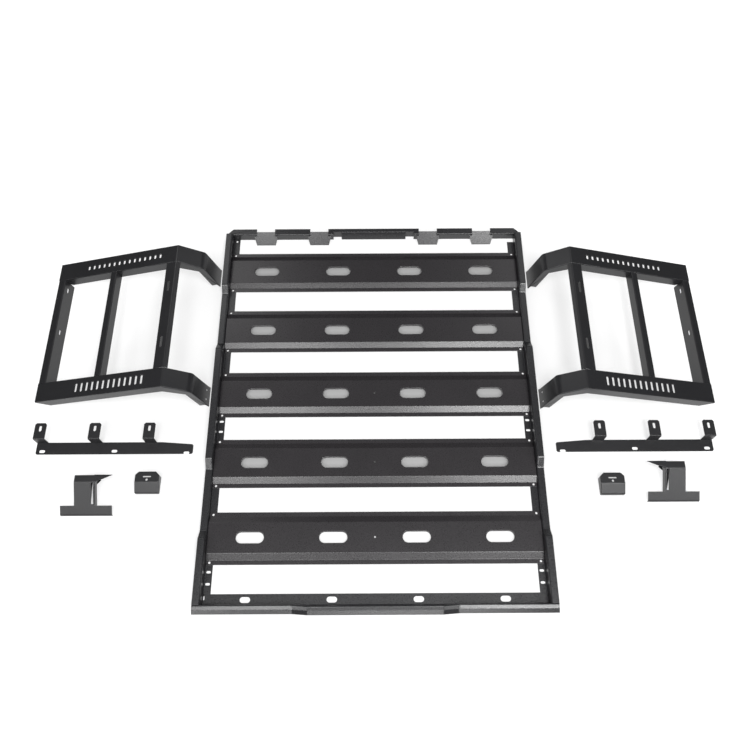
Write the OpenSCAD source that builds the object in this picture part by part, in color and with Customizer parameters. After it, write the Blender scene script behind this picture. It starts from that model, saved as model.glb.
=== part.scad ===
// Knock-down roof rack of folded sheet steel, laid out on the floor as a kit:
// a slatted deck, two side frames with bent arms, two gutter strips with hooks,
// two tee brackets and two small cap brackets. Millimetres, +Z up, +Y to the rear.
// The origin is on the floor, at the middle of the deck.

/* [Deck] */
// Width of the deck over the caps of its side rails
deck_w = 1300; // [1240:2:1360]
// Length of the deck from the front rail's nose to the rear rail's edge
deck_l = 1651; // [1610:1:1700]
// Thickness of the steel sheet that everything is folded from
sheet_t = 2.5; // [2:0.25:3]

/* [Side rails] */
// Width of a side rail's foot, which the slats lie on
rail_foot_w = 30; // [27:1:34]
// Width of a side rail's cap, which turns outwards
rail_cap_w = 27.5; // [22:0.5:32]
// Height of the raised stretches of a side rail
rail_high = 50; // [44:1:60]
// Height of the lowered stretches of a side rail
rail_low = 25; // [20:1:32]
// Length of each sloping step between the two heights
rail_step_l = 33; // [26:1:38]
// Length of each lowered stretch with its two steps
rail_dip_l = 306; // [280:2:330]
// Distance of the rear lowered stretch's middle from the deck's rear edge
rear_dip_in = 447; // [436:1:458]
// Distance of the front lowered stretch's middle from the deck's front edge
front_dip_in = 422; // [412:1:434]
// How far the right rail's foot stops short of the rear rail
right_foot_gap = 20; // [12:1:26]

/* [Slats] */
// Distance of the rear slat's middle from the deck's rear edge
rear_slat_in = 207; // [198:0.5:216]
// Distance of the front slat's middle from the deck's front edge
front_slat_in = 278; // [268:0.5:288]
// Width of a slat's flat crown
slat_crown_w = 114; // [104:1:120]
// Width of the slope on each side of the crown
slat_slope_w = 24; // [20:1:28]
// Width of the foot along each edge of a slat
slat_foot_w = 17; // [16:0.5:20]
// How far the crown stands above the feet
slat_rise = 10; // [7:1:16]
// Gap between a slat's end and the rail's web
slat_end_gap = 1; // [0.5:0.5:3]
// Length of a tie-down slot in a slat
tie_slot_l = 110; // [90:1:120]
// Width of a tie-down slot in a slat
tie_slot_w = 47; // [36:1:52]
// Distance between neighbouring tie-down slots
tie_slot_pitch = 310; // [280:1:320]
// Diameter of the small hole in the middle of three slats
pilot_d = 7; // [5:0.5:9]

/* [Fixing holes] */
// Diameter of the round bolt holes
bolt_d = 9; // [7:0.5:10]
// Length of the cross slots in the side rails' feet
rail_slot_l = 17; // [14:0.5:18]
// Distance between the two cross slots of a pair
rail_slot_gap = 43; // [34:1:48]
// How far the middle pair sits behind the middle of the gap between its slats
mid_pair_shift = 9; // [4:1:14]
// How far the front pair sits behind the middle of the gap before the last slat
front_pair_shift = 5; // [0:1:10]

/* [Front rail] */
// Depth of the front rail's foot
front_foot_w = 42; // [38:0.5:48]
// Depth of the front rail's nose
nose_w = 34.5; // [28:0.5:38]
// Width of the lowered middle of the front rail, at its top
nose_dip_w = 592; // [540:2:620]
// Width of each slope down into the lowered middle
nose_slope_w = 53; // [40:1:60]
// How far the middle of the front rail is lowered
nose_drop = 28; // [18:1:32]
// Length of the slots in the front rail's foot
front_slot_l = 38; // [30:1:44]
// Width of the slots in the front rail's foot
front_slot_w = 21; // [16:0.5:24]
// Distance between neighbouring slots of the front rail
front_slot_pitch = 313; // [296:1:320]

/* [Rear rail] */
// Height of the rear rail
rear_h = 38; // [34:1:44]
// Depth of the rear rail's cap, which turns outwards
rear_cap_w = 30; // [26:0.5:36]
// How far the ends of the rear rail's cap are cut off across its corners
rear_corner_cut = 28; // [20:1:32]
// Middle of the inner pair of lamp tabs, from the middle of the deck
tab_inner_x = 241; // [232:1:250]
// Middle of the outer pair of lamp tabs, from the middle of the deck
tab_outer_x = 478; // [470:1:488]
// Width of the gap in the cap that a lamp tab fills
tab_gap_w = 80; // [70:1:88]
// Width of a lamp tab where it meets the rail
tab_top_w = 104; // [96:1:112]
// Width of a lamp tab at its foot
tab_foot_w = 83; // [74:1:92]
// How far a lamp tab reaches in from the rear rail
tab_reach = 30; // [24:1:36]
// How far a lamp tab reaches out behind the rail's web
tab_back = 15; // [10:1:20]
// Width of the leaning flap in the middle of the rear rail
flap_w = 285; // [260:1:300]
// How far the flap leans back at its top
flap_back = 14; // [10:1:18]
// Width of the relief cut on each side of the flap
relief_w = 36; // [28:1:40]

/* [Side frames] */
// Distance from the middle of the deck to a side frame's outer edge
frame_x = 1347; // [1336:1:1366]
// Front edge of the left side frame, from the middle of the deck
left_frame_y = -13; // [-23:1:-3]
// Front edge of the right side frame, from the middle of the deck
right_frame_y = -30; // [-40:1:-20]
// Length of a side frame, front to rear
frame_l = 647; // [620:1:680]
// Width of a side frame from its outer edge to the first bend of its arms
frame_w = 556; // [540:1:572]
// Slope of a side frame as it lies, in degrees
frame_lean = 15.2; // [13:0.2:17]
// Width of the two beams that carry the arms
beam_w = 83; // [76:1:90]
// Depth of the beams' flanges next to the windows
beam_leg = 44; // [40:1:48]
// Depth of the lips on the beams' outer edges
beam_lip = 44; // [38:1:46]
// Depth of the lips along both edges of an arm
arm_lip = 30; // [24:1:30]
// Length of bare sheet between those lips and the arm's tip
arm_lip_in = 20; // [18:1:26]
// Depth of the outer post's outer leg, which stands on the floor
post_leg = 54; // [50:1:60]
// Depth of the legs of the centre post and the inner post
slim_leg = 40; // [34:1:44]
// Width of the outer post's top
outer_post_w = 33; // [30:1:38]
// Distance from the outer edge to the centre post
centre_post_u = 252; // [244:1:262]
// Width of the centre post's top
centre_post_w = 28; // [24:1:34]
// Width of the inner post's top
inner_post_w = 45; // [40:1:50]
// Width of the inner post's sloping edge
inner_post_slope_w = 18; // [14:1:22]
// Length of the first stretch of an arm
arm_reach = 117; // [110:1:124]
// Slope of the first stretch of an arm, in degrees below level
arm_slope = 29.2; // [27:0.2:32]
// Slope of the arm's end, in degrees below level
arm_end_slope = 73; // [70:0.2:76]
// Distance between the two bolt holes at the end of a front arm
arm_hole_gap = 40; // [34:1:46]
// Distance of those holes from the arm's tip
arm_hole_in = 26; // [22:1:30]
// Width of a cooling slit in the beams
slit_w = 9; // [7:0.5:11]
// Length of the slits in the rear beam
rear_slit_l = 21; // [16:1:26]
// Length of the slits in the front beam
front_slit_l = 38; // [30:1:42]
// Distance between neighbouring slits
slit_pitch = 24; // [22:1:26]

/* [Gutter strips] */
// Outer end of a gutter strip, from the middle of the deck
strip_outer_x = 1327; // [1318:1:1334]
// Length of a gutter strip
strip_l = 615; // [608:1:620]
// Rear edge of a gutter strip, from the middle of the deck
strip_y = -165; // [-174:1:-156]
// Depth of a gutter strip
strip_w = 49; // [46:1:56]
// How much narrower the strip is at its inner end
strip_taper = 9; // [4:1:12]
// Distance between the strip's fixing holes
strip_hole_pitch = 283; // [278:1:288]
// Length of the strip's fixing holes
strip_hole_l = 23; // [18:0.5:26]
// Width of the strip's fixing holes
strip_hole_w = 12; // [9:0.5:14]
// Distance of the strip's holes from its outer end
strip_hole_in = 24.5; // [22:0.5:28]
// Distance of the strip's holes from its front edge
strip_hole_y = 12.5; // [12:0.5:16]
// Distance of the outer hook's middle from the strip's outer end
hook_in = 22.5; // [22.5:0.5:28]
// Distance between the middles of neighbouring hooks
hook_pitch = 213; // [206:1:220]
// Width of a hook
hook_w = 45; // [38:1:48]
// Height of a hook
hook_h = 50; // [42:1:56]
// How far a hook reaches to the rear
hook_reach = 64; // [56:1:72]
// Length of the slot in a hook
hook_slot_l = 23; // [18:0.5:26]
// Width of the slot in a hook
hook_slot_w = 10; // [8:0.5:12]

/* [Tee brackets] */
// Middle of the left tee bracket, from the middle of the deck
left_tee_x = 1087; // [1077:1:1107]
// Middle of the right tee bracket, from the middle of the deck
right_tee_x = 1132; // [1118:1:1148]
// Front edge of the left tee bracket, from the middle of the deck
left_tee_y = -459; // [-469:1:-451]
// Front edge of the right tee bracket, from the middle of the deck
right_tee_y = -416; // [-428:1:-408]
// Width of a tee bracket's base
tee_base_w = 196; // [180:1:210]
// How far the base runs to the rear
tee_base_l = 33; // [28:1:38]
// Distance from the base's outer end to the stem
tee_stem_in = 53; // [46:1:60]
// Width of the stem, with its side flange
tee_stem_w = 77; // [70:1:88]
// How far the leaning plate runs to the rear, with the base
tee_run = 113; // [104:1:120]
// Slope of the leaning plate, in degrees
tee_lean = 26.5; // [23:0.5:30]
// Height of the tee bracket's front lip
tee_lip = 10; // [8:1:14]
// Depth of the shelf on top of a tee bracket
tee_shelf_l = 28; // [24:1:32]
// How far the shelf's point reaches past the stem
tee_point = 65; // [54:1:74]
// Width of the slit beside the side flange
tee_slit_w = 8; // [5:0.5:10]

/* [Cap brackets] */
// Middle of the left cap bracket, from the middle of the deck
left_cap_x = 870; // [862:1:882]
// Middle of the right cap bracket, from the middle of the deck
right_cap_x = 906; // [896:1:916]
// Rear edge of the left cap bracket, from the middle of the deck
left_cap_y = -294; // [-302:1:-288]
// Rear edge of the right cap bracket, from the middle of the deck
right_cap_y = -308; // [-316:1:-300]
// Width of a cap bracket
cap_w = 93; // [86:1:98]
// Depth of the cap bracket's level top
cap_top_l = 42; // [38:1:48]
// How far the cap bracket's sloping front runs forward
cap_front_l = 39; // [34:1:42]
// Height of a cap bracket
cap_h = 32; // [28:1:36]
// Height of the cap bracket's front lip
cap_lip = 14; // [10:1:18]
// Length of the slit in a cap bracket's top
cap_slit_l = 31; // [26:1:36]
// Width of the slit in a cap bracket's top
cap_slit_w = 5; // [4:0.5:6]

/* [Hidden] */

$fn = 48;
black = "#2b2c2e";
// Cutters run this far past the faces they cut
cut = 1;

// Deck edges and the faces that its pieces meet at
rail_outer_x = deck_w / 2;
rail_web_out = rail_outer_x - rail_cap_w + sheet_t;
rail_web_in = rail_web_out - sheet_t;
rail_foot_in = rail_web_out - rail_foot_w;
foot_mid_x = (rail_foot_in + rail_web_in) / 2;
rear_edge_y = deck_l / 2;
rear_web_y = rear_edge_y - rear_cap_w;
front_edge_y = -deck_l / 2;
front_web_y = front_edge_y + nose_w;
front_foot_y = front_web_y + front_foot_w;
slat_half = slat_crown_w / 2 + slat_slope_w + slat_foot_w;
slat_hole_y = slat_half - slat_foot_w / 2;
rear_hole_y = rear_web_y - slat_foot_w / 2 - sheet_t;
slat_count = 5;
slat_pitch = (deck_l - rear_slat_in - front_slat_in) / (slat_count - 1);
function slat_y(i) = rear_edge_y - rear_slat_in - (i - 1) * slat_pitch;
rear_dip_y = rear_edge_y - rear_dip_in;
front_dip_y = front_edge_y + front_dip_in;
mid_pair_y = (slat_y(3) + slat_y(4)) / 2 + mid_pair_shift;
front_pair_y = (slat_y(slat_count) - slat_half + front_foot_y) / 2 + front_pair_shift;

// Side frame as it lies: p(u, n) is a point u in from the outer edge and n
// above the frame's top face, in the plane across the vehicle
frame_z = post_leg * cos(frame_lean);
function p(u, n = 0) = [
    -frame_x + u * cos(frame_lean) - n * sin(frame_lean),
    frame_z + u * sin(frame_lean) + n * cos(frame_lean)
];
function down(from, length, slope) = from + length * [cos(slope), -sin(slope)];
arm_bend_1 = p(frame_w);
arm_bend_2 = down(arm_bend_1, arm_reach, arm_slope);
arm_end_l = (arm_bend_2[1] - sheet_t * cos(arm_end_slope)) / sin(arm_end_slope);
arm_tip = down(arm_bend_2, arm_end_l, arm_end_slope);
beam_line = [p(0), arm_bend_1, arm_bend_2, arm_tip];
beam_cut_u = beam_leg - sheet_t;
arm_lip_l = arm_end_l - arm_lip_in;
post_l = frame_l - 2 * beam_w;
inner_post_u = frame_w - inner_post_w;

// Mitred offset of an open line to its right-hand side
function unit(v) = v / norm(v);
function right_of(v) = [v[1], -v[0]];
function side_at(line, i) =
    let (last = len(line) - 1,
         a = right_of(unit(line[max(i, 1)] - line[max(i, 1) - 1])),
         b = right_of(unit(line[min(i, last - 1) + 1] - line[min(i, last - 1)])))
    (a + b) / (1 + a * b);
function beside(line, d) = [for (i = [0 : len(line) - 1]) line[i] + d * side_at(line, i)];
function backwards(line) = [for (i = [len(line) - 1 : -1 : 0]) line[i]];
function strip_of(line, t) = concat(line, backwards(beside(line, t)));

// Extrudes a drawing of Y and Z along X, and one of X and Z along Y
module along_x(x0, x1) translate([x0, 0, 0]) rotate([90, 0, 90]) linear_extrude(x1 - x0) children();
module along_y(y0, y1) translate([0, y1, 0]) rotate([90, 0, 0]) linear_extrude(y1 - y0) children();

// A round-ended slot standing on z = 0, with its length along X
module slot(length, width, depth) {
    reach = (length - width) / 2;
    for (side = [-1, 1]) translate([side * reach, 0, 0]) cylinder(d = width, h = depth);
    translate([-reach, -width / 2, 0]) cube([2 * reach, width, depth]);
}

// The same slot cut down through a level sheet whose underside is at z
module sheet_slot(x, y, z, length, width, turn = 0)
    translate([x, y, z - cut]) rotate([0, 0, turn]) slot(length, width, sheet_t + 2 * cut);

module sheet_hole(x, y, z, d)
    translate([x, y, z - cut]) cylinder(d = d, h = sheet_t + 2 * cut);

// Heights of a side rail's top, from its front end to its rear end
function rail_top() = [
    [front_web_y, rail_high],
    [front_dip_y - rail_dip_l / 2, rail_high],
    [front_dip_y - rail_dip_l / 2 + rail_step_l, rail_low],
    [front_dip_y + rail_dip_l / 2 - rail_step_l, rail_low],
    [front_dip_y + rail_dip_l / 2, rail_high],
    [rear_dip_y - rail_dip_l / 2, rail_high],
    [rear_dip_y - rail_dip_l / 2 + rail_step_l, rail_low],
    [rear_dip_y + rail_dip_l / 2 - rail_step_l, rail_low],
    [rear_dip_y + rail_dip_l / 2, rail_high],
    [rear_web_y, rail_high]
];

// The rail of the right side; its foot ends foot_gap short of the rear rail
module side_rail(foot_gap) color(black) difference() {
    union() {
        along_x(rail_web_in, rail_web_out)
            polygon(concat([[rear_web_y, 0], [front_web_y, 0]], rail_top()));
        along_x(rail_web_out, rail_outer_x)
            polygon(strip_of(rail_top(), sheet_t));
        translate([rail_foot_in, front_foot_y, 0])
            cube([rail_foot_w - sheet_t, rear_web_y - foot_gap - front_foot_y, sheet_t]);
    }
    for (i = [1 : slat_count], side = [-1, 1])
        sheet_hole(foot_mid_x, slat_y(i) + side * slat_hole_y, 0, bolt_d);
    if (foot_gap == 0) sheet_hole(foot_mid_x, rear_hole_y, 0, bolt_d);
    for (y = [mid_pair_y, front_pair_y], side = [-1, 1])
        sheet_slot(foot_mid_x, y + side * rail_slot_gap / 2, 0, rail_slot_l, bolt_d);
}

// Outline of a slat's underside, from its front edge to its rear edge
function slat_line() = [
    [-slat_half, 0],
    [-slat_half + slat_foot_w, 0],
    [-slat_crown_w / 2, slat_rise],
    [slat_crown_w / 2, slat_rise],
    [slat_half - slat_foot_w, 0],
    [slat_half, 0]
];

module slat(i) {
    end_x = rail_web_in - slat_end_gap;
    has_pilot = i > 2;
    color(black) translate([0, slat_y(i), sheet_t]) difference() {
        along_x(-end_x, end_x) polygon(strip_of(slat_line(), -sheet_t));
        for (n = [-1.5 : 1 : 1.5])
            sheet_slot(n * tie_slot_pitch, 0, slat_rise, tie_slot_l, tie_slot_w);
        for (x = [-foot_mid_x, foot_mid_x], side = [-1, 1])
            sheet_hole(x, side * slat_hole_y, 0, bolt_d);
        if (has_pilot) sheet_hole(0, 0, slat_rise, pilot_d);
    }
}

// Heights of the front rail's top, with its lowered middle
function nose_top() = [
    [-rail_outer_x, rail_high],
    [-nose_dip_w / 2, rail_high],
    [-nose_dip_w / 2 + nose_slope_w, rail_high - nose_drop],
    [nose_dip_w / 2 - nose_slope_w, rail_high - nose_drop],
    [nose_dip_w / 2, rail_high],
    [rail_outer_x, rail_high]
];

module front_rail() color(black) difference() {
    union() {
        along_y(front_web_y - sheet_t, front_web_y)
            polygon(concat([[rail_outer_x, 0], [-rail_outer_x, 0]], nose_top()));
        along_y(front_edge_y, front_web_y - sheet_t)
            polygon(strip_of(nose_top(), sheet_t));
        translate([-rail_web_in, front_web_y, 0])
            cube([2 * rail_web_in, front_foot_w, sheet_t]);
    }
    for (n = [-1.5 : 1 : 1.5])
        sheet_slot(n * front_slot_pitch, front_web_y + front_foot_w / 2, 0,
                   front_slot_l, front_slot_w);
}

// Ends of the rear rail's full height and its cap, from the middle out; under
// the lamp tabs its web is only half as high
web_ends = [
    [flap_w / 2 + relief_w, tab_inner_x - tab_gap_w / 2],
    [tab_inner_x + tab_gap_w / 2, tab_outer_x - tab_gap_w / 2],
    [tab_outer_x + tab_gap_w / 2, rail_outer_x]
];

module rear_rail() color(black) {
    for (side = [0, 1]) mirror([side, 0, 0]) {
        translate([web_ends[0][0], rear_web_y, 0])
            cube([rail_outer_x - web_ends[0][0], sheet_t, rear_h / 2]);
        for (ends = web_ends)
            translate([ends[0], rear_web_y, 0]) cube([ends[1] - ends[0], sheet_t, rear_h]);
        translate([0, 0, rear_h - sheet_t]) linear_extrude(sheet_t) {
            for (i = [0, 1])
                translate([web_ends[i][0], rear_web_y])
                    square([web_ends[i][1] - web_ends[i][0], rear_cap_w]);
            polygon([
                [web_ends[2][0], rear_web_y], [rail_outer_x, rear_web_y],
                [rail_outer_x, rear_edge_y - rear_corner_cut],
                [rail_outer_x - rear_corner_cut, rear_edge_y], [web_ends[2][0], rear_edge_y]
            ]);
        }
    }
    translate([-web_ends[0][1], rear_web_y + flap_back, rear_h - sheet_t])
        cube([2 * web_ends[0][1], rear_cap_w - flap_back, sheet_t]);
}

// Side view of a sheet that leans from y0 on the floor to y1 at the rear rail's top
module leaning_sheet(y0, y1) {
    thick = sheet_t * norm([y1 - y0, rear_h]) / (y1 - y0);
    polygon([[y0, 0], [y1, rear_h - thick], [y1, rear_h], [y0, thick]]);
}

module rear_tab(x) color(black) intersection() {
    along_x(x - tab_top_w / 2, x + tab_top_w / 2)
        leaning_sheet(rear_web_y - tab_reach, rear_web_y + tab_back);
    linear_extrude(rear_h) polygon([
        [x - tab_top_w / 2, rear_web_y],
        [x - tab_foot_w / 2, rear_web_y - tab_reach],
        [x + tab_foot_w / 2, rear_web_y - tab_reach],
        [x + tab_top_w / 2, rear_web_y],
        [x + tab_gap_w / 2, rear_web_y],
        [x + tab_gap_w / 2, rear_web_y + tab_back],
        [x - tab_gap_w / 2, rear_web_y + tab_back],
        [x - tab_gap_w / 2, rear_web_y]
    ]);
}

module rear_flap() color(black) {
    foot_t = sheet_t * norm([flap_back, rear_h]) / rear_h;
    top_y = rear_web_y + flap_back;
    along_x(-flap_w / 2, flap_w / 2) polygon([
        [rear_web_y, 0], [rear_web_y + foot_t, 0],
        [top_y, rear_h * (1 - foot_t / flap_back)], [top_y, rear_h]
    ]);
}

// Flange of a beam: it follows the sheet, is cut off at the outer corner, gets
// shallower at the first bend and ends a little before the arm's tip
module beam_flange(depth) {
    under_beam = beside(beam_line, depth);
    under_arm = beside(beam_line, arm_lip);
    lip_end = down(arm_bend_2, arm_lip_l, arm_end_slope);
    polygon([
        p(0), arm_bend_1, arm_bend_2, lip_end, lip_end + under_arm[3] - arm_tip,
        under_arm[2], under_beam[1], p(beam_cut_u, -depth), p(0, -2 * sheet_t)
    ]);
}

// A slit through the beam's sheet, u in from the outer edge, running front to rear
module beam_slit(u, y, length) {
    at = p(u, -sheet_t - cut);
    translate([at[0], y, at[1]]) rotate([0, -frame_lean, 0]) rotate([0, 0, 90])
        slot(length, slit_w, sheet_t + 2 * cut);
}

module beam(y0, leg_first) {
    first_depth = leg_first ? beam_leg : beam_lip;
    last_depth = leg_first ? beam_lip : beam_leg;
    along_y(y0, y0 + beam_w) polygon(strip_of(beam_line, sheet_t));
    along_y(y0, y0 + sheet_t) beam_flange(first_depth);
    along_y(y0 + beam_w - sheet_t, y0 + beam_w) beam_flange(last_depth);
}

module rear_beam(y0) {
    slits = 15;
    beam_y = y0 + frame_l - beam_w;
    color(black) difference() {
        beam(beam_y, true);
        for (n = [0 : slits - 1])
            beam_slit(frame_w / 2 + beam_leg + (n - slits / 2) * slit_pitch,
                      beam_y + beam_w / 2, rear_slit_l);
    }
}

module front_beam(y0) {
    slits = 13;
    hole_at = down(arm_bend_2, arm_end_l - arm_hole_in, arm_end_slope);
    color(black) difference() {
        beam(y0, false);
        for (n = [0 : slits - 1])
            beam_slit(centre_post_u + (n - (slits - 1) / 4) * slit_pitch,
                      y0 + beam_w / 2, front_slit_l);
        for (side = [-1, 1])
            translate([hole_at[0], y0 + beam_w / 2 + side * arm_hole_gap / 2, hole_at[1]])
                rotate([0, arm_end_slope, 0]) translate([0, 0, -sheet_t - cut])
                    cylinder(d = bolt_d, h = sheet_t + 2 * cut);
    }
}

// A channel with its back up: u0 to u1 wide, with legs of the given depths
module channel(u0, u1, outer_leg, inner_leg)
    polygon([
        p(u0), p(u1),
        p(u1, -inner_leg), p(u1 - sheet_t, -inner_leg),
        p(u1 - sheet_t, -sheet_t), p(u0 + sheet_t, -sheet_t),
        p(u0 + sheet_t, -outer_leg), p(u0, -outer_leg)
    ]);

module outer_post(y0) {
    hole_l = 22;
    post_y = y0 + beam_w;
    depth = post_leg / 2;
    rise = (outer_post_w - sheet_t) * sin(frame_lean);
    inner_leg = (frame_z + rise) / cos(frame_lean);
    color(black) difference() {
        along_y(post_y, post_y + post_l) channel(0, outer_post_w, post_leg, inner_leg);
        for (y = [post_y + post_l / 2, post_y + post_l - slat_crown_w / 3]) {
            at = p(outer_post_w - sheet_t - cut, -depth);
            translate([at[0], y, at[1]]) rotate([0, 90 - frame_lean, 0]) rotate([0, 0, 90])
                slot(hole_l, bolt_d, sheet_t + 2 * cut);
        }
    }
}

module centre_post(y0) color(black)
    along_y(y0 + beam_w, y0 + beam_w + post_l)
        channel(centre_post_u, centre_post_u + centre_post_w, slim_leg, slim_leg);

module inner_post(y0) {
    slot_l = 48;
    post_y = y0 + beam_w;
    line = [
        p(inner_post_u, -slim_leg), p(inner_post_u), arm_bend_1,
        down(arm_bend_1, inner_post_slope_w, arm_slope)
    ];
    color(black) difference() {
        along_y(post_y, post_y + post_l) polygon(strip_of(line, sheet_t));
        for (part = [0.235, 0.765])
            beam_slit(inner_post_u + inner_post_w / 2, post_y + part * post_l, slot_l);
    }
}

module gutter_strip() {
    outer = -strip_outer_x;
    inner = outer + strip_l;
    front = strip_y - strip_w;
    taper_x = outer + hook_in + 2 * hook_pitch + hook_w;
    corner = 5;
    hole_x = outer + strip_hole_in;
    color(black) difference() {
        linear_extrude(sheet_t) polygon([
            [outer, strip_y], [outer, front + corner], [outer + corner, front],
            [inner - corner, front], [inner, front + corner],
            [inner, strip_y - strip_taper - corner],
            [inner - corner, strip_y - strip_taper], [taper_x, strip_y]
        ]);
        for (n = [0, 1])
            sheet_slot(hole_x + n * strip_hole_pitch, front + strip_hole_y, 0,
                       strip_hole_l, strip_hole_w);
        sheet_slot(hole_x + 2 * strip_hole_pitch, front + strip_hole_w / 3, 0,
                   strip_hole_l, strip_hole_w);
    }
}

module hook(i) {
    x0 = -strip_outer_x + hook_in + (i - 1) * hook_pitch - hook_w / 2;
    corner = 6;
    end_y = strip_y + hook_reach;
    color(black) difference() {
        union() {
            translate([x0, strip_y - sheet_t, sheet_t]) cube([hook_w, sheet_t, hook_h - sheet_t]);
            translate([x0, strip_y, hook_h - sheet_t]) linear_extrude(sheet_t) polygon([
                [0, 0], [hook_w, 0], [hook_w, hook_reach - corner],
                [hook_w - corner, hook_reach], [corner, hook_reach], [0, hook_reach - corner]
            ]);
        }
        sheet_slot(x0 + hook_w / 2, end_y - hook_slot_l, hook_h - sheet_t,
                   hook_slot_l, hook_slot_w, 90);
    }
}

module tee_bracket(x, y) {
    far = y + tee_base_l;
    top = y + tee_run;
    end = top + tee_shelf_l;
    height = tee_lip + tee_run * tan(tee_lean);
    base_h = tee_lip + tee_base_l * tan(tee_lean);
    flange_h = base_h + 2 * sheet_t;
    base_0 = -x - tee_base_w / 2;
    stem_0 = base_0 + tee_stem_in;
    stem_1 = stem_0 + tee_stem_w;
    base_1 = -x + tee_base_w / 2;
    color(black) {
        difference() {
            intersection() {
                along_x(base_0, stem_1 + tee_point)
                    polygon(strip_of([[y, 0], [y, tee_lip], [top, height], [end, height]], sheet_t));
                linear_extrude(height) polygon([
                    [base_0, y], [base_1, y], [base_1, far], [stem_1, far], [stem_1, top],
                    [stem_1 + tee_point, end], [stem_0, end], [stem_0, far], [base_0, far]
                ]);
            }
            translate([stem_1 - 2 * sheet_t - tee_slit_w, far + sheet_t, base_h])
                cube([tee_slit_w, tee_run - tee_base_l - 2 * sheet_t, height]);
        }
        along_x(stem_1 - sheet_t, stem_1) polygon([
            [far, base_h], [top, height], [end, height], [end, height - flange_h],
            [top, height - flange_h], [far + 2 * sheet_t / tan(tee_lean), 0], [far, 0]
        ]);
        along_x(stem_0, stem_1)
            polygon([[end - sheet_t, 0], [end, 0], [end, height], [end - sheet_t, height]]);
    }
}

module cap_bracket(x, y) {
    edge = y - cap_top_l;
    front = edge - cap_front_l;
    corner = 15;
    x0 = -x - cap_w / 2;
    x1 = -x + cap_w / 2;
    line = [[front, 0], [front, cap_lip], [edge, cap_h], [y, cap_h], [y, 0]];
    color(black) difference() {
        intersection() {
            union() {
                along_x(x0, x1) polygon(strip_of(line, sheet_t));
                for (wall = [x0, x1 - sheet_t]) along_x(wall, wall + sheet_t) polygon(line);
            }
            linear_extrude(cap_h) polygon([
                [x0, front], [x1, front], [x1, y - corner],
                [x1 - corner, y], [x0 + corner, y], [x0, y - corner]
            ]);
        }
        sheet_slot(-x, y - cap_top_l / 2, cap_h - sheet_t, cap_slit_l, cap_slit_w);
        sheet_hole(-x, edge + bolt_d, cap_h - sheet_t, bolt_d);
    }
}

module to_right() mirror([1, 0, 0]) children();

to_right() side_rail(0);  // left_side_rail
side_rail(right_foot_gap);  // right_side_rail
front_rail();
rear_rail();
slat(1);  // slat_1
slat(2);  // slat_2
slat(3);  // slat_3
slat(4);  // slat_4
slat(5);  // slat_5
rear_tab(-tab_outer_x);  // rear_tab_1
rear_tab(-tab_inner_x);  // rear_tab_2
rear_tab(tab_inner_x);  // rear_tab_3
rear_tab(tab_outer_x);  // rear_tab_4
rear_flap();
front_beam(left_frame_y);  // left_frame_front_beam
rear_beam(left_frame_y);  // left_frame_rear_beam
outer_post(left_frame_y);  // left_frame_outer_post
centre_post(left_frame_y);  // left_frame_centre_post
inner_post(left_frame_y);  // left_frame_inner_post
to_right() front_beam(right_frame_y);  // right_frame_front_beam
to_right() rear_beam(right_frame_y);  // right_frame_rear_beam
to_right() outer_post(right_frame_y);  // right_frame_outer_post
to_right() centre_post(right_frame_y);  // right_frame_centre_post
to_right() inner_post(right_frame_y);  // right_frame_inner_post
gutter_strip();  // left_gutter_strip
hook(1);  // left_hook_1
hook(2);  // left_hook_2
hook(3);  // left_hook_3
to_right() gutter_strip();  // right_gutter_strip
to_right() hook(1);  // right_hook_1
to_right() hook(2);  // right_hook_2
to_right() hook(3);  // right_hook_3
tee_bracket(left_tee_x, left_tee_y);  // left_tee_bracket
to_right() tee_bracket(right_tee_x, right_tee_y);  // right_tee_bracket
cap_bracket(left_cap_x, left_cap_y);  // left_cap_bracket
to_right() cap_bracket(right_cap_x, right_cap_y);  // right_cap_bracket
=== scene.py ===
"""Roof rack kit of folded black sheet steel, laid out on a white floor."""

import math

import bmesh
import bpy
from mathutils import Matrix, Vector


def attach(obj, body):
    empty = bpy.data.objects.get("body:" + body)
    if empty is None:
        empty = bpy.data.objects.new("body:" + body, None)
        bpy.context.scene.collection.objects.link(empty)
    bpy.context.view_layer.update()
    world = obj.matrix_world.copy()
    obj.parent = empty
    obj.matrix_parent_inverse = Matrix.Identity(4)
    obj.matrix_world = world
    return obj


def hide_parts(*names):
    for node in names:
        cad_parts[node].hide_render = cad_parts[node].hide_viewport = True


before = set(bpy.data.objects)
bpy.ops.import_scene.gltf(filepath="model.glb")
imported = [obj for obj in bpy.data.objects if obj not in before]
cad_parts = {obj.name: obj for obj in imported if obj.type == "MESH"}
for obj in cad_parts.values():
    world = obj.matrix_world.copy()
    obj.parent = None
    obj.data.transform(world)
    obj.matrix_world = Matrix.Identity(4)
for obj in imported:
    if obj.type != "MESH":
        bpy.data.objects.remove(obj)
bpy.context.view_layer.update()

MM = 0.001

# Sizes in millimetres, the main ones as in the part's source
SHEET = 2.5
DECK_W = 1300
DECK_L = 1651
RAIL_FOOT_W = 30
RAIL_CAP_W = 27.5
RAIL_HIGH = 50
RAIL_LOW = 25
RAIL_STEP = 33
RAIL_DIP_L = 306
REAR_DIP_IN = 447
FRONT_DIP_IN = 422
RIGHT_FOOT_GAP = 20
SLATS = 5
REAR_SLAT_IN = 207
FRONT_SLAT_IN = 278
SLAT_CROWN_W = 114
SLAT_SLOPE_W = 24
SLAT_FOOT_W = 17
SLAT_RISE = 10
SLAT_END_GAP = 1
TIE_SLOTS = 4
TIE_SLOT_L = 110
TIE_SLOT_W = 47
TIE_SLOT_PITCH = 310
PILOT_D = 7
BOLT_D = 9
RAIL_SLOT_L = 17
RAIL_SLOT_GAP = 43
MID_PAIR_SHIFT = 9
FRONT_PAIR_SHIFT = 5
FRONT_FOOT_W = 42
NOSE_W = 34.5
NOSE_DIP_W = 592
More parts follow.
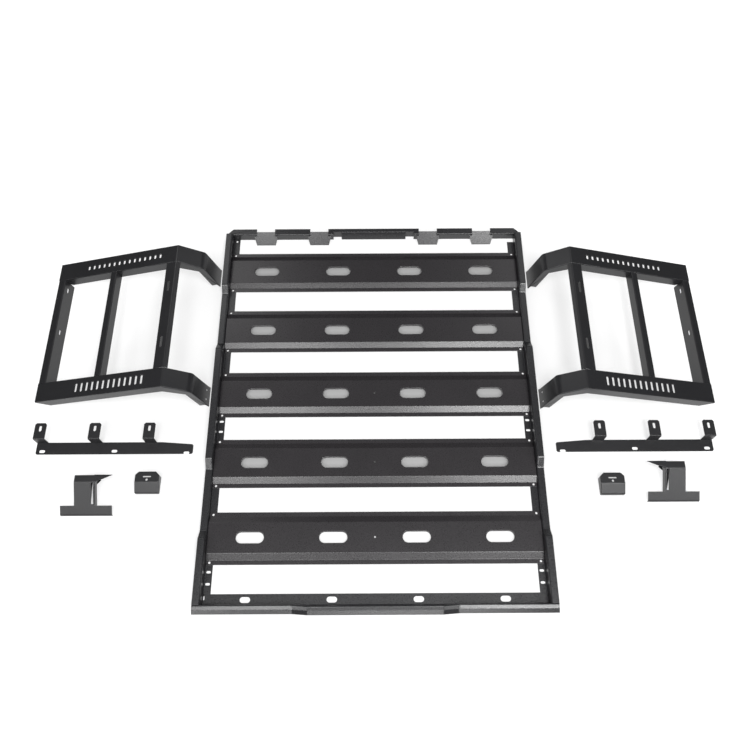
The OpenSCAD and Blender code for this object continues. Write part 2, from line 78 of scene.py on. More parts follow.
NOSE_SLOPE_W = 53
NOSE_DROP = 28
# How far the nose falls towards its edge, at its ends and in its lowered middle
NOSE_FALL_END = 3.5
NOSE_FALL_MIDDLE = 7.5
NOSE_LIP = 14
NOSE_LIP_DROP = 8
FRONT_SLOTS = 4
FRONT_SLOT_L = 38
FRONT_SLOT_W = 21
FRONT_SLOT_PITCH = 313
RELIEF_L = 14
RELIEF_W = 4
RELIEF_IN = 6
REAR_CAP_W = 30
REAR_HIGH = 38
FLAP_W = 285
FLAP_BACK = 14
FLAP_RELIEF_W = 36
# How far a rail's end reaches into the next sheet, and a strip past the relief that it backs
RAIL_LAP = 2
RELIEF_LAP = 1

# Radius of the press brake's folds, at the middle of the sheet, and of a slat's pressed folds
FOLD_R = 5.5
SLAT_FOLD_R = 4.5
# Radii of the bends along the side rails and the nose, where they drop
RAIL_BEND_R = 16
NOSE_BEND_R = 14
# How far a fold of the CAD's solids is rounded, on its outside and its inside
FOLD_OUTSIDE = 4.0
FOLD_INSIDE = 1.8
# Radians between two faces: less and they are one flat face, more and their edge is a fold
FLAT_ANGLE = 0.02
FOLD_ANGLE = 0.15
# Degrees between two faces past which their edge stays sharp
SHARP_DEGREES = 40
# How far from its bend line the end of a side frame's arm starts to curve
ARM_ROLL = 20.0
# Where those bends are, in metres from the middle and from the floor, and their radians
ARM_BEND_X = (0.69, 0.73)
ARM_BEND_Z = 0.1
ARM_BEND_ANGLE = (0.3, 1.3)

rail_outer_x = DECK_W / 2
rail_web_x = rail_outer_x - RAIL_CAP_W + SHEET / 2
rail_foot_in = rail_web_x + SHEET / 2 - RAIL_FOOT_W
foot_mid_x = (rail_foot_in + rail_web_x - SHEET / 2) / 2
rear_edge_y = DECK_L / 2
rear_web_y = rear_edge_y - REAR_CAP_W
front_edge_y = -DECK_L / 2
front_web_y = front_edge_y + NOSE_W
front_foot_y = front_web_y + FRONT_FOOT_W
slat_half = SLAT_CROWN_W / 2 + SLAT_SLOPE_W + SLAT_FOOT_W
slat_hole_in = slat_half - SLAT_FOOT_W / 2
slat_pitch = (DECK_L - REAR_SLAT_IN - FRONT_SLAT_IN) / (SLATS - 1)
slat_rows = [rear_edge_y - REAR_SLAT_IN - i * slat_pitch for i in range(SLATS)]
rear_dip_y = rear_edge_y - REAR_DIP_IN
front_dip_y = front_edge_y + FRONT_DIP_IN
mid_pair_y = (slat_rows[2] + slat_rows[3]) / 2 + MID_PAIR_SHIFT
front_pair_y = (slat_rows[4] - slat_half + front_foot_y) / 2 + FRONT_PAIR_SHIFT


# Coatings


def paint(hex_code):
    """An sRGB colour such as "1c1d1f" as the linear colour that shaders take."""
    channels = [int(hex_code[i : i + 2], 16) / 255 for i in (0, 2, 4)]
    linear = [c / 12.92 if c <= 0.04045 else ((c + 0.055) / 1.055) ** 2.4 for c in channels]
    return (*linear, 1.0)


def add_node(tree, kind, sockets=None, **settings):
    """Adds a node with its settings and its inputs' values or links, and gives its outputs."""
    made = tree.nodes.new(kind)
    for name, value in settings.items():
        setattr(made, name, value)
    for key, value in (sockets or {}).items():
        if isinstance(value, bpy.types.NodeSocket):
            tree.links.new(value, made.inputs[key])
        else:
            made.inputs[key].default_value = value
    return made.outputs


# Sizes of the coat's patterns in millimetres. Powder grain is 0.2 mm, but it is drawn at 4 mm, as
# coarse as it needs to be to show; orange peel is about 2 mm; the film's thickness changes over
# the length of a hand.
GRAIN = 4
PEEL = 25 / 12
FILM = 500 / 3
# How much paler the film is where it is thick
THICK_FILM = 1.5


def satin_powder_coat(name, film_hex, edge_highlight_hex, roughness):
    """Polyester powder coat baked on steel: satin black, a fine orange peel, a painted highlight on
    edges.
    """
    coat = bpy.data.materials.new(name)
    coat.use_nodes = True
    tree = coat.node_tree
    tree.nodes.clear()
    place = add_node(tree, "ShaderNodeTexCoord")["Object"]
    # The slow change of the film is what the eye takes as depth
    film = add_node(
        tree, "ShaderNodeTexNoise", {"Vector": place, "Scale": 1 / (FILM * MM), "Detail": 3.0}
    )["Fac"]
    grain = add_node(
        tree, "ShaderNodeTexNoise", {"Vector": place, "Scale": 1 / (GRAIN * MM), "Detail": 2.0}
    )["Fac"]
    # Orange peel breaks up the highlights
    peel = add_node(
        tree, "ShaderNodeTexNoise", {"Vector": place, "Scale": 1 / (PEEL * MM), "Detail": 1.0}
    )["Fac"]
    # Sharp edges are painted paler as a painted highlight, and their normals are rounded for the
    # lamps
    edges = add_node(tree, "ShaderNodeBevel", {"Radius": 1.2 * MM}, samples=6)["Normal"]
    facing = add_node(tree, "ShaderNodeNewGeometry")["Normal"]
    turned = add_node(
        tree, "ShaderNodeVectorMath", {0: edges, 1: facing}, operation="DOT_PRODUCT"
    )["Value"]
    # Painted highlight: the more the surface turns at an edge, the paler it is painted
    edge_highlight = add_node(
        tree, "ShaderNodeMapRange",
        {"Value": turned, "From Min": 0.97, "From Max": 0.75, "To Min": 0.0, "To Max": 0.55},
    )["Result"]
    thick = add_node(
        tree, "ShaderNodeMapRange",
        {"Value": film, "From Min": 0.3, "From Max": 0.7, "To Min": 0.0, "To Max": 0.45},
    )["Result"]
    speck = add_node(
        tree, "ShaderNodeMapRange",
        {"Value": grain, "From Min": 0.35, "From Max": 0.75, "To Min": 0.0, "To Max": 0.45},
    )["Result"]
    both = add_node(
        tree, "ShaderNodeMath", {0: thick, 1: speck}, operation="ADD", use_clamp=True
    )[0]
    # A colour mix takes its two colours in sockets 6 and 7 and gives the mixed one in output 2
    pale = tuple(c * THICK_FILM for c in paint(film_hex)[:3]) + (1.0,)
    body = add_node(
        tree, "ShaderNodeMix", {0: both, 6: paint(film_hex), 7: pale}, data_type="RGBA"
    )[2]
    # The painted highlight's colour is mixed in on the edges
    colour = add_node(
        tree, "ShaderNodeMix", {0: edge_highlight, 6: body, 7: paint(edge_highlight_hex)}, data_type="RGBA"
    )[2]
    gloss = add_node(
        tree, "ShaderNodeMapRange",
        {
            "Value": grain, "From Min": 0.3, "From Max": 0.7,
            "To Min": roughness - 0.03, "To Max": roughness + 0.05,
        },
    )["Result"]
    bump = add_node(
        tree, "ShaderNodeBump",
        {"Height": peel, "Normal": edges, "Strength": 0.12, "Distance": 0.2 * MM},
    )["Normal"]
    shader = add_node(
        tree, "ShaderNodeBsdfPrincipled",
        {"Base Color": colour, "Roughness": gloss, "Normal": bump, "IOR": 1.52},
    )[0]
    add_node(tree, "ShaderNodeOutputMaterial", {"Surface": shader})
    return coat


# Each coat: its film colour, the colour of its painted edge highlight, and its roughness
coats = {
    "slat_coat": satin_powder_coat("satin_powder_coat_on_slats", "1e1c1e", "5c5b5d", 0.29),
    "rail_coat": satin_powder_coat("satin_powder_coat_on_rails", "19191b", "58585b", 0.29),
    "frame_coat": satin_powder_coat("satin_powder_coat_on_frames", "151517", "4c4c4f", 0.33),
    "bracket_coat": satin_powder_coat("satin_powder_coat_on_brackets", "131315", "4a4a4d", 0.4),
}


# Sheet metal


def folded(line, radius=FOLD_R, steps=5):
    """A bent line with an arc of the given radius at each corner."""
    points = [Vector(p) for p in line]
    out = [points[0]]
    for before, corner, after in zip(points, points[1:], points[2:]):
        to_before = (before - corner).normalized()
        to_after = (after - corner).normalized()
        half = to_before.angle(to_after) / 2
        # Each arc takes less than half of a straight, so that two never meet
        room = 0.48 * min((before - corner).length, (after - corner).length)
        reach = min(radius / math.tan(half), room)
        hub = corner + (to_before + to_after).normalized() * reach / math.cos(half)
        start = corner + to_before * reach - hub
        end = corner + to_after * reach - hub
        sweep = start.angle(end)
        for k in range(steps + 1):
            share = k / steps
            a = math.sin((1 - share) * sweep) / math.sin(sweep)
            b = math.sin(share * sweep) / math.sin(sweep)
            out.append(hub + start * a + end * b)
    out.append(points[-1])
    return out


def outline(line):
    """The closed outline of a sheet whose middle follows a line."""
    left, right = [], []
    for i, point in enumerate(line):
        runs = []
        if i > 0:
            runs.append((point - line[i - 1]).normalized())
        if i < len(line) - 1:
            runs.append((line[i + 1] - point).normalized())
        across = [Vector((-run.y, run.x)) for run in runs]
        mitre = sum(across, Vector((0, 0))) / len(across)
        side = mitre * (SHEET / 2 / mitre.length_squared)
        left.append(point + side)
        right.append(point - side)
    return left + right[::-1]


def skin(rings):
    """A closed body through rings of points in millimetres."""
    count = len(rings[0])
    body = bmesh.new()
    rows = [[body.verts.new(Vector(p) * MM) for p in ring] for ring in rings]
    for near, far in zip(rows, rows[1:]):
        for j in range(count):
            k = (j + 1) % count
            body.faces.new((near[j], near[k], far[k], far[j]))
    body.faces.new(rows[0][::-1])
    body.faces.new(rows[-1])
    bmesh.ops.recalc_face_normals(body, faces=body.faces)
    return body


def piece_of(name, bodies, coat):
    """One object from several closed bodies."""
    mesh = bpy.data.meshes.new(name)
    whole = bmesh.new()
    for body in bodies:
        part = bpy.data.meshes.new("part")
        body.to_mesh(part)
        whole.from_mesh(part)
        bpy.data.meshes.remove(part)
        body.free()
    whole.to_mesh(mesh)
    whole.free()
    mesh.materials.append(coats[coat])
    piece = bpy.data.objects.new(name, mesh)
    bpy.context.scene.collection.objects.link(piece)
    return piece


def name_inputs(tree, **kinds):
    """Gives a tree its named inputs and one geometry output, and returns the inputs' sockets."""
    for name, kind in kinds.items():
        tree.interface.new_socket(name, in_out="INPUT", socket_type="NodeSocket" + kind)
    tree.interface.new_socket("Made", in_out="OUTPUT", socket_type="NodeSocketGeometry")
    return add_node(tree, "NodeGroupInput")


def punched_row_tree():
    """Geometry nodes that punch a row of round-ended holes through a sheet."""
    tree = bpy.data.node_groups.new("punched_row", "GeometryNodeTree")
    given = name_inputs(
        tree, Sheet="Geometry", Length="Float", Width="Float", Depth="Float", Count="Int",
        First="Vector", Step="Vector", Coat="Material",
    )
    box = add_node(
        tree, "GeometryNodeCurvePrimitiveQuadrilateral",
        {"Width": given["Length"], "Height": given["Width"]},
    )[0]
    # Just under half the width, so that a round hole's four arcs don't meet
    half = add_node(
        tree, "ShaderNodeMath", {0: given["Width"], 1: 0.4999}, operation="MULTIPLY"
    )[0]
    ends = add_node(
        tree, "GeometryNodeFilletCurve",
        {"Curve": box, "Radius": half, "Count": 9, "Limit Radius": True}, mode="POLY",
    )[0]
    fill = add_node(tree, "GeometryNodeFillCurve", {"Curve": ends}, mode="NGONS")[0]
    up = add_node(tree, "ShaderNodeCombineXYZ", {"Z": given["Depth"]})[0]
    tall = add_node(
        tree, "GeometryNodeExtrudeMesh", {"Mesh": fill, "Offset": up, "Individual": False}
    )["Mesh"]
    under = add_node(tree, "GeometryNodeFlipFaces", {"Mesh": fill})[0]
    both = add_node(tree, "GeometryNodeJoinGeometry")[0]
    for shell in (tall, under):
        tree.links.new(shell, both.node.inputs[0])
    punch_body = add_node(
        tree, "GeometryNodeMergeByDistance", {"Geometry": both, "Distance": 1e-6}
    )[0]
    drop = add_node(tree, "ShaderNodeMath", {0: given["Depth"], 1: -0.5}, operation="MULTIPLY")[0]
    low = add_node(tree, "ShaderNodeCombineXYZ", {"Z": drop})[0]
    centred = add_node(
        tree, "GeometryNodeTransform", {"Geometry": punch_body, "Translation": low}
    )[0]
    spots = add_node(
        tree, "GeometryNodeMeshLine",
        {"Count": given["Count"], "Start Location": given["First"], "Offset": given["Step"]},
    )[0]
    row = add_node(
        tree, "GeometryNodeInstanceOnPoints", {"Points": spots, "Instance": centred}
    )[0]
    real = add_node(tree, "GeometryNodeRealizeInstances", {"Geometry": row})[0]
    # The bodies of one piece touch, which the cut only bears with Self Intersection
    cut = add_node(
        tree, "GeometryNodeMeshBoolean",
        {"Mesh 1": given["Sheet"], "Mesh 2": real, "Self Intersection": True},
        operation="DIFFERENCE", solver="EXACT",
    )[0]
    coated = add_node(
        tree, "GeometryNodeSetMaterial", {"Geometry": cut, "Material": given["Coat"]}
    )[0]
    add_node(tree, "NodeGroupOutput", {"Made": coated})
    return tree


def spaced_row_tree():
    """Geometry nodes that set copies of one made item out in a row."""
    tree = bpy.data.node_groups.new("spaced_row", "GeometryNodeTree")
    given = name_inputs(
        tree, Item="Geometry", Count="Int", First="Vector", Step="Vector", Coat="Material"
    )
    spots = add_node(
        tree, "GeometryNodeMeshLine",
        {"Count": given["Count"], "Start Location": given["First"], "Offset": given["Step"]},
    )[0]
    row = add_node(
        tree, "GeometryNodeInstanceOnPoints", {"Points": spots, "Instance": given["Item"]}
    )[0]
    real = add_node(tree, "GeometryNodeRealizeInstances", {"Geometry": row})[0]
    coated = add_node(
        tree, "GeometryNodeSetMaterial", {"Geometry": real, "Material": given["Coat"]}
    )[0]
    add_node(tree, "NodeGroupOutput", {"Made": coated})
    return tree


punched_row = punched_row_tree()
spaced_row = spaced_row_tree()


def queue(piece, tree, **values):
    """Adds a Geometry Nodes step to a piece, its inputs set by their sockets' identifiers."""
    step = piece.modifiers.new(tree.name, "NODES")
    step.node_group = tree
    for socket in tree.interface.items_tree:
        if socket.in_out == "INPUT" and socket.name in values:
            step[socket.identifier] = values[socket.name]


def punch(piece, first, length, width, step=(0, 0, 0), count=1, depth=12.0):
    """Queues a row of holes in millimetres, by the first hole's middle and the step to the next."""
    queue(
        piece, punched_row, Length=length * MM, Width=width * MM, Depth=depth * MM, Count=count,
        First=[v * MM for v in first], Step=[v * MM for v in step], Coat=piece.data.materials[0],
    )


def finished(piece, coat, node=None):
    """Turns queued work into a plain mesh that rides on the rack, for a CAD node or beside it."""
    shaped = piece.evaluated_get(bpy.context.evaluated_depsgraph_get())
    mesh = bpy.data.meshes.new_from_object(shaped)
    piece.modifiers.clear()
    piece.data = mesh
    mesh.materials.clear()
    mesh.materials.append(coats[coat])
    mesh.shade_smooth()
    mesh.set_sharp_from_angle(angle=math.radians(SHARP_DEGREES))
    # Flat faces keep flat shading beside a rounded fold
    flats = piece.modifiers.new("flats", "WEIGHTED_NORMAL")
    flats.keep_sharp = True
    shaped = piece.evaluated_get(bpy.context.evaluated_depsgraph_get())
    piece.data = bpy.data.meshes.new_from_object(shaped)
    piece.modifiers.clear()
    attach(piece, "root")
    if node:
        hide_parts(node)


# Deck


def rail_top():
    """Heights of a side rail along the deck, front to rear, over both lowered stretches."""
    line = [(front_web_y, RAIL_HIGH)]
    for middle in (front_dip_y, rear_dip_y):
        start, end = middle - RAIL_DIP_L / 2, middle + RAIL_DIP_L / 2
        line += [(start, RAIL_HIGH), (start + RAIL_STEP, RAIL_LOW)]
        line += [(end - RAIL_STEP, RAIL_LOW), (end, RAIL_HIGH)]
    return line + [(rear_web_y, RAIL_HIGH)]


def height_at(line, y):
    """Height of a bent line at one place along it."""
    for a, b in zip(line, line[1:]):
        if a[0] <= y <= b[0]:
            return a[1] + (b[1] - a[1]) * (y - a[0]) / max(b[0] - a[0], 1e-9)
    return line[-1][1]


def rail_rings(stations, with_foot):
    """Cuts through a side rail of the right side: foot, web and outward cap."""
    rings = []
    for y, high in stations:
        top = high - SHEET / 2
        if with_foot:
            line = [(rail_foot_in, SHEET / 2), (rail_web_x, SHEET / 2)]
        else:
            line = [(rail_web_x, 0)]
        line += [(rail_web_x, top), (rail_outer_x, top)]
        cut = outline(folded([Vector(p) for p in line]))
        rings.append([(p.x, y, p.y) for p in cut])
    return rings


def side_rail(name, side, foot_gap):
    """A side rail, made for the right and mirrored for the left; its foot may end short."""
    top = [(p.x, p.y) for p in folded([Vector(p) for p in rail_top()], RAIL_BEND_R, steps=4)]
    foot_end = rear_web_y - foot_gap
    # It starts inside the front rail's web, so that no gap shows there
    spans = [(front_web_y - RAIL_LAP, front_foot_y, False), (front_foot_y, foot_end, True)]
    if foot_gap:
        spans.append((foot_end, rear_web_y, False))
    bodies = []
    for start, end, with_foot in spans:
        inside = [p for p in top if start < p[0] < end]
        stations = [(start, height_at(top, start)), *inside, (end, height_at(top, end))]
        rings = rail_rings(stations, with_foot)
        bodies.append(skin([[(side * x, y, z) for x, y, z in ring] for ring in rings]))
    rail = piece_of(name + "_folded", bodies, "rail_coat")
    x = side * foot_mid_x
    for row in slat_rows:
        punch(rail, (x, row - slat_hole_in, 0), BOLT_D, BOLT_D, (0, 2 * slat_hole_in, 0), 2)
    for pair in (mid_pair_y, front_pair_y):
        punch(rail, (x, pair - RAIL_SLOT_GAP / 2, 0), RAIL_SLOT_L, BOLT_D, (0, RAIL_SLOT_GAP, 0), 2)
    if not foot_gap:
        punch(rail, (x, rear_web_y - SLAT_FOOT_W / 2 - SHEET, 0), BOLT_D, BOLT_D)
    finished(rail, "rail_coat", name)


side_rail("left_side_rail", -1, 0)
side_rail("right_side_rail", 1, RIGHT_FOOT_GAP)


def rolled_rim():
    """The edge of a tie-down slot, rolled down through the sheet, about a slot at the origin."""
    # Distance out from the slot's edge, and height over the slat's top
    section = [(0.3, -2.0), (0.3, -0.25), (-0.5, -0.05), (-1.5, -0.35), (-2.4, -1.1)]
    section += [(-2.9, -2.2), (-3.0, -5.6), (-1.6, -5.6), (-1.4, -3.0)]
    straight = (TIE_SLOT_L - TIE_SLOT_W) / 2
    steps = 16
    rings = []
    for side in (1, -1):
        for k in range(steps + 1):
            angle = math.pi * k / steps - side * math.pi / 2
            way = Vector((math.cos(angle), math.sin(angle)))
            rings.append([
                (side * straight + way.x * (TIE_SLOT_W / 2 + d), way.y * (TIE_SLOT_W / 2 + d), z)
                for d, z in section
            ])
    body = bmesh.new()
    rows = [[body.verts.new(Vector(p) * MM) for p in ring] for ring in rings]
    for near, far in zip(rows, rows[1:] + rows[:1]):
        for j in range(len(section)):
            k = (j + 1) % len(section)
            body.faces.new((near[j], near[k], far[k], far[j]))
    bmesh.ops.recalc_face_normals(body, faces=body.faces)
    return body


def slat(number, row):
    """A slat pressed to a low hat section, with its tie-down slots."""
    low = SHEET * 1.5
    high = low + SLAT_RISE
    crown = SLAT_CROWN_W / 2
    foot = slat_half - SLAT_FOOT_W
    line = [(-slat_half, low), (-foot, low), (-crown, high)]
    line += [(crown, high), (foot, low), (slat_half, low)]
    cut = outline(folded([Vector(p) for p in line], SLAT_FOLD_R))
    end_x = rail_web_x - SHEET / 2 - SLAT_END_GAP
    body = skin([[(x, row + p.x, p.y) for p in cut] for x in (-end_x, end_x)])
    bar = piece_of(f"slat_{number}_pressed", [body], "slat_coat")
    first = -(TIE_SLOTS - 1) / 2 * TIE_SLOT_PITCH
    punch(bar, (first, row, high), TIE_SLOT_L, TIE_SLOT_W, (TIE_SLOT_PITCH, 0, 0), TIE_SLOTS)
    for side in (-1, 1):
        foot_hole = (side * foot_mid_x, row - slat_hole_in, low)
        punch(bar, foot_hole, BOLT_D, BOLT_D, (0, 2 * slat_hole_in, 0), 2, depth=6)
    # The two rear slats have no pilot hole
    if number > 2:
        punch(bar, (0, row, high), PILOT_D, PILOT_D)
    finished(bar, "slat_coat", f"slat_{number}")
    rim = piece_of(f"slat_{number}_slot_rims", [rolled_rim()], "slat_coat")
    queue(
        rim, spaced_row, Count=TIE_SLOTS, First=[first * MM, row * MM, (high + SHEET / 2) * MM],
        Step=[TIE_SLOT_PITCH * MM, 0.0, 0.0], Coat=coats["slat_coat"],
    )
    finished(rim, "slat_coat")


for number, row in enumerate(slat_rows, 1):
    slat(number, row)


def front_rail():
    """The front rail: foot, web and nose, with the nose's edge turned down."""
    half = NOSE_DIP_W / 2
    low = RAIL_HIGH - NOSE_DROP
    heights = [(-rail_outer_x, RAIL_HIGH), (-half, RAIL_HIGH), (-half + NOSE_SLOPE_W, low)]
    heights += [(half - NOSE_SLOPE_W, low), (half, RAIL_HIGH), (rail_outer_x, RAIL_HIGH)]
    stations = folded([Vector(p) for p in heights], NOSE_BEND_R, steps=4)
    web = front_web_y - SHEET / 2
    edge = front_edge_y + SHEET / 2
    foot_end = rail_web_x - SHEET / 2
    bodies = []
    spans = [(-rail_outer_x, -foot_end, False), (-foot_end, foot_end, True)]
    spans.append((foot_end, rail_outer_x, False))
    for start, end, with_foot in spans:
        inside = [(p.x, p.y) for p in stations if start < p.x < end]
        rings = []
        for x, high in [(start, RAIL_HIGH), *inside, (end, RAIL_HIGH)]:
            top = high - SHEET / 2
            line = [(front_foot_y, SHEET / 2), (web, SHEET / 2)] if with_foot else [(web, 0)]
            raised = (high - low) / NOSE_DROP
            fall = NOSE_FALL_MIDDLE - (NOSE_FALL_MIDDLE - NOSE_FALL_END) * raised
            line += [(web, top), (edge + NOSE_LIP, top - fall), (edge, top - fall - NOSE_LIP_DROP)]
            cut = outline(folded([Vector(p) for p in line]))
            rings.append([(x, p.x, p.y) for p in cut])
        bodies.append(skin(rings))
    rail = piece_of("front_rail_folded", bodies, "rail_coat")
    middle = front_web_y + FRONT_FOOT_W / 2
    first = (-(FRONT_SLOTS - 1) / 2 * FRONT_SLOT_PITCH, middle, 0)
    punch(rail, first, FRONT_SLOT_L, FRONT_SLOT_W, (FRONT_SLOT_PITCH, 0, 0), FRONT_SLOTS)
    # A narrow relief by the left side rail, where the two feet meet
    punch(rail, (-rail_web_x + RELIEF_IN, front_foot_y - RELIEF_L, 0), RELIEF_W, RELIEF_L)
    finished(rail, "rail_coat", "front_rail")


front_rail()


def flap_relief_back(name, side):
    """An upright strip under the rear rail's cap, behind the relief beside the flap."""
    start, end = FLAP_W / 2 - RELIEF_LAP, FLAP_W / 2 + FLAP_RELIEF_W + RELIEF_LAP
    y = rear_web_y + FLAP_BACK
    top = REAR_HIGH - RELIEF_LAP
    line = [(y, 0), (y, top), (y + SHEET, top), (y + SHEET, 0)]
    body = skin([[(side * x, py, pz) for py, pz in line] for x in (start, end)])
    finished(piece_of(name, [body], "rail_coat"), "rail_coat")


flap_relief_back("rear_rail_relief_back_left", -1)
flap_relief_back("rear_rail_relief_back_right", 1)


# The other CAD nodes, with their folds rounded


def coat_of(node):
    """The record's coating for a CAD node that isn't made anew."""
    if "frame" in node:
        return "frame_coat"
    if "strip" in node or "hook" in node or "bracket" in node:
        return "bracket_coat"
    return "rail_coat"


def regions_of(body):
    """Groups a body's flat faces, with each group's width as twice its area by its outline."""
    group = {}
    widths = []
    for seed in body.faces:
        if seed in group:
            continue
        number = len(widths)
        group[seed] = number
        stack, area, rim = [seed], 0.0, 0.0
        while stack:
            face = stack.pop()
            area += face.calc_area()
            for edge in face.edges:
                others = [f for f in edge.link_faces if f is not face]
                if len(others) == 1 and edge.calc_face_angle(0.0) < FLAT_ANGLE:
                    if others[0] not in group:
                        group[others[0]] = number
                        stack.append(others[0])
                else:
                    rim += edge.calc_length()
        widths.append(2 * area / max(rim, 1e-9) / MM)
    return group, widths


def fold_widths(body):
    """Marks how far each fold is rounded: more on its outside, as a press brake leaves it."""
    group, widths = regions_of(body)
    weight = body.edges.layers.float.new("bevel_weight_edge")
    for edge in body.edges:
        if len(edge.link_faces) != 2:
            continue
        # A face that is hardly wider than the sheet is thick is a cut edge, and isn't folded
        wide = min(widths[group[f]] for f in edge.link_faces) > 1.3 * SHEET
        angle = edge.calc_face_angle(0.0)
        if wide and angle > FOLD_ANGLE:
            width = FOLD_OUTSIDE if edge.is_convex else FOLD_INSIDE
            middle = (edge.verts[0].co + edge.verts[1].co) / 2
            at_arm_end = ARM_BEND_X[0] < abs(middle.x) < ARM_BEND_X[1] and middle.z > ARM_BEND_Z
            if at_arm_end and ARM_BEND_ANGLE[0] < angle < ARM_BEND_ANGLE[1]:
                width = ARM_ROLL if edge.is_convex else ARM_ROLL - 1
            edge[weight] = width / ARM_ROLL


def folded_copy(node):
    """A CAD node's sheet with its folds rounded, in place of the sharp solid."""
    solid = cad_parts[node]
    body = bmesh.new()
    body.from_mesh(solid.data)
    # The CAD's mesh is loose triangles, so its corners and flat faces are joined first
    bmesh.ops.remove_doubles(body, verts=body.verts, dist=2e-5)
    bmesh.ops.dissolve_limit(body, angle_limit=0.01, verts=body.verts, edges=body.edges)
    fold_widths(body)
    mesh = bpy.data.meshes.new(node + "_folded")
    body.to_mesh(mesh)
    body.free()
    piece = bpy.data.objects.new(node + "_folded", mesh)
    bpy.context.scene.collection.objects.link(piece)
    folds = piece.modifiers.new("folds", "BEVEL")
    folds.width = ARM_ROLL * MM
    folds.segments = 5
    folds.limit_method = "WEIGHT"
    folds.use_clamp_overlap = False
    finished(piece, coat_of(node), node)


made_anew = {f"slat_{number}" for number in range(1, SLATS + 1)}
made_anew |= {"left_side_rail", "right_side_rail", "front_rail"}
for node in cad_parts:
    if node not in made_anew:
        folded_copy(node)


# Floor, light and camera


# The floor lies this many metres under the rack, so that no face of the rack lies in it
FLOOR_DROP = 0.0004


def studio_floor():
    """White paper floor: it takes the rack's shadow, and turns to plain white away from it."""
    far = 40.0
    mesh = bpy.data.meshes.new("studio_floor")
    corners = [(-far, -far, 0), (far, -far, 0), (far, far, 0), (-far, far, 0)]
    mesh.from_pydata(corners, [], [(0, 1, 2, 3)])
    ground = bpy.data.objects.new("studio_floor", mesh)
    ground.location.z = -FLOOR_DROP
    bpy.context.scene.collection.objects.link(ground)
    paper = bpy.data.materials.new("white_paper_floor")
    paper.use_nodes = True
    tree = paper.node_tree
    tree.nodes.clear()
    place = add_node(tree, "ShaderNodeTexCoord")["Object"]
    # An oval about the rack, outside which the paper is plain white
    squash = add_node(
        tree, "ShaderNodeVectorMath", {0: place, 1: (0.70, 1.0, 0.0)}, operation="MULTIPLY"
    )[0]
    reach = add_node(tree, "ShaderNodeVectorMath", {0: squash}, operation="LENGTH")["Value"]
    fade = add_node(
        tree, "ShaderNodeMapRange",
        {"Value": reach, "From Min": 0.75, "From Max": 1.35, "To Min": 0.6, "To Max": 1.0},
    )["Result"]
    # Painted shade: under all slats but the front one the paper doesn't glow, so their slots show
    # grey
    spot = add_node(tree, "ShaderNodeSeparateXYZ", {0: place})
    from_front = add_node(
        tree, "ShaderNodeMath", {0: spot["Y"], 1: slat_rows[-1] * MM}, operation="SUBTRACT"
    )[0]
    from_row = add_node(
        tree, "ShaderNodeMath", {0: from_front, 1: slat_pitch * MM / 2}, operation="PINGPONG"
    )[0]
    middle = (slat_rows[0] + slat_rows[3]) / 2 * MM
    along = add_node(tree, "ShaderNodeMath", {0: spot["Y"], 1: middle}, operation="SUBTRACT")[0]
    from_middle = add_node(tree, "ShaderNodeMath", {0: along}, operation="ABSOLUTE")[0]
    aside = add_node(tree, "ShaderNodeMath", {0: spot["X"]}, operation="ABSOLUTE")[0]
    # Where the shade starts to fade and has gone, in metres from a slat's middle, from the middle
    # of the four rows and from the deck's middle
    edges = [
        add_node(
            tree, "ShaderNodeMapRange", {"Value": measure, "From Min": start, "From Max": end}
        )["Result"]
        for measure, start, end in (
            (from_row, 0.042, 0.07), (from_middle, 0.50, 0.52), (aside, 0.60, 0.64)
        )
    ]
    lit_paper = edges[0]
    for edge in edges[1:]:
        lit_paper = add_node(
            tree, "ShaderNodeMath", {0: lit_paper, 1: edge}, operation="MAXIMUM"
        )[0]
    # The painted shade takes the paper's glow away under the slats
    fade = add_node(tree, "ShaderNodeMath", {0: fade, 1: lit_paper}, operation="MULTIPLY")[0]
    rays = add_node(tree, "ShaderNodeLightPath")
    seen = add_node(
        tree, "ShaderNodeMath", {0: rays["Is Camera Ray"], 1: fade}, operation="MULTIPLY"
    )[0]
    # What the coat mirrors is an even floor, without the shade
    gloss = add_node(
        tree, "ShaderNodeMath", {0: rays["Is Glossy Ray"], 1: 0.8}, operation="MULTIPLY"
    )[0]
    shiny = add_node(
        tree, "ShaderNodeMath", {0: gloss, 1: rays["Is Transmission Ray"]}, operation="MAXIMUM"
    )[0]
    glow = add_node(tree, "ShaderNodeMath", {0: seen, 1: shiny}, operation="MAXIMUM")[0]
    lit = add_node(tree, "ShaderNodeEmission", {"Strength": glow})[0]
    matt = add_node(tree, "ShaderNodeBsdfDiffuse", {"Color": paint("949494")})[0]
    both = add_node(tree, "ShaderNodeAddShader", {0: lit, 1: matt})[0]
    add_node(tree, "ShaderNodeOutputMaterial", {"Surface": both})
    mesh.materials.append(paper)


studio_floor()


def studio_world():
    """A dim room with a paler ceiling, white where the camera looks past the floor."""
    world = bpy.data.worlds.new("studio")
    bpy.context.scene.world = world
    world.use_nodes = True
    tree = world.node_tree
    tree.nodes.clear()
    way = add_node(tree, "ShaderNodeTexCoord")["Generated"]
    height = add_node(tree, "ShaderNodeSeparateXYZ", {0: way})["Z"]
    room = add_node(
        tree, "ShaderNodeMapRange",
        {"Value": height, "From Min": 0.35, "From Max": 0.85, "To Min": 0.13, "To Max": 0.27},
    )["Result"]
    rays = add_node(tree, "ShaderNodeLightPath")
    seen = add_node(
        tree, "ShaderNodeMath", {0: rays["Is Camera Ray"], 1: rays["Is Transmission Ray"]},
        operation="MAXIMUM",
    )[0]
    level = add_node(tree, "ShaderNodeMath", {0: seen, 1: room}, operation="MAXIMUM")[0]
    sky = add_node(
        tree, "ShaderNodeBackground", {"Color": paint("ffffff"), "Strength": level}
    )[0]
    add_node(tree, "ShaderNodeOutputWorld", {"Surface": sky})


studio_world()


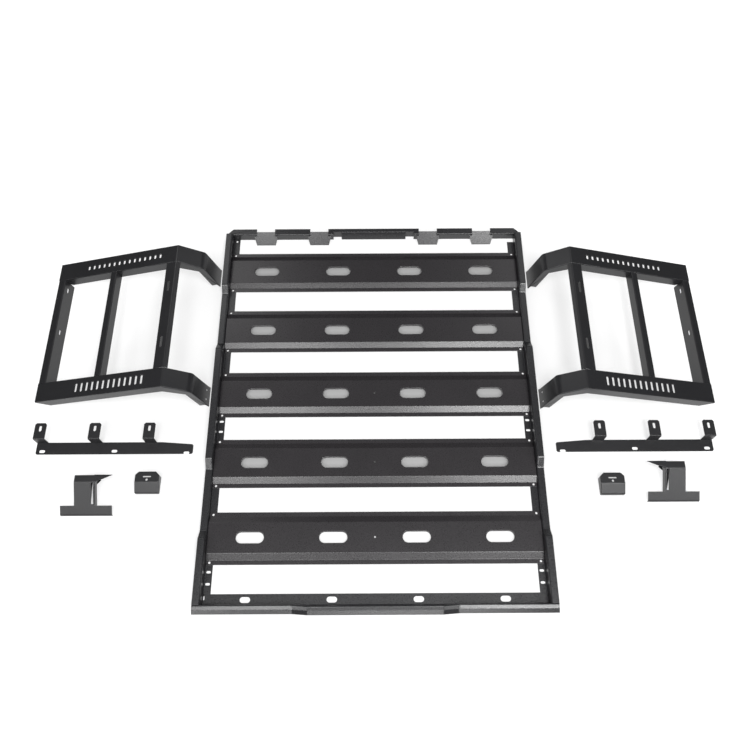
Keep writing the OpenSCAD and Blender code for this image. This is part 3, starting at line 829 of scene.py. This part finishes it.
def soft_box(name, middle, target, width, depth, watts):
    """A rectangular soft box, width along X, that faces a target."""
    lamp = bpy.data.lights.new(name, "AREA")
    lamp.shape = "RECTANGLE"
    lamp.size = width
    lamp.size_y = depth
    lamp.energy = watts
    box = bpy.data.objects.new(name, lamp)
    box.location = middle
    box.rotation_euler = (Vector(target) - Vector(middle)).to_track_quat("-Z", "Y").to_euler()
    bpy.context.scene.collection.objects.link(box)
    box.visible_camera = False


# Name, place and target in metres, width, depth and watts. The two overhead boxes give the
# slats' front slopes and the nose two bright stretches each; the side boxes light the nose's
# steps; the weak boxes behind the deck are what the first stretch of each arm mirrors.
for box in (
    ("left_overhead_box", (-1.15, -1.75, 4.5), (-0.4, -0.3, 0.0), 1.1, 2.0, 98),
    ("right_overhead_box", (1.3, -1.75, 4.5), (0.4, -0.3, 0.0), 1.1, 2.0, 165),
    ("front_box", (0.3, -3.9, 2.9), (0.0, -0.1, 0.0), 1.8, 0.9, 56),
    ("front_left_box", (-1.7, -3.9, 2.9), (-0.6, -0.3, 0.0), 0.9, 0.9, 30),
    ("left_box", (-3.1, -1.6, 2.6), (0.3, -0.8, 0.0), 1.6, 0.8, 36),
    ("right_box", (3.1, -1.6, 2.6), (-0.3, -0.8, 0.0), 1.6, 0.8, 40),
    ("rear_left_box", (-1.2, 1.9, 2.1), (0.75, 0.4, 0.15), 1.0, 1.0, 6),
    ("rear_right_box", (1.2, 1.9, 2.1), (-0.75, 0.4, 0.15), 1.0, 1.0, 3.5),
):
    soft_box(*box)


# The photograph's camera: where it is in metres, its focal length and its frame in pixels, and
# how far it looks down and leans over
CAMERA_PLACE = (0.003, -1.2078, 2.819)
FOCAL_PX = 760
FRAME_PX = 750
SENSOR_MM = 36.0
LOOK_DOWN = 64.72
LEAN_OVER = -0.3034


def photo_camera():
    """The photograph's camera, fitted to the deck's corners, slats and slots."""
    dip, roll = math.radians(LOOK_DOWN), math.radians(LEAN_OVER)
    ahead = Vector((0, math.cos(dip), -math.sin(dip)))
    right = Vector((1, 0, 0))
    up = right.cross(ahead)
    across = right * math.cos(roll) + up * math.sin(roll)
    above = up * math.cos(roll) - right * math.sin(roll)
    lens = bpy.data.cameras.new("photo_camera")
    lens.sensor_fit = "HORIZONTAL"
    lens.sensor_width = SENSOR_MM
    lens.lens = SENSOR_MM * FOCAL_PX / FRAME_PX
    view = bpy.data.objects.new("photo_camera", lens)
    turn = Matrix((across, above, -ahead)).transposed().to_4x4()
    view.matrix_world = Matrix.Translation(CAMERA_PLACE) @ turn
    bpy.context.scene.collection.objects.link(view)
    bpy.context.scene.camera = view


photo_camera()
bpy.context.scene.view_settings.view_transform = "Standard"
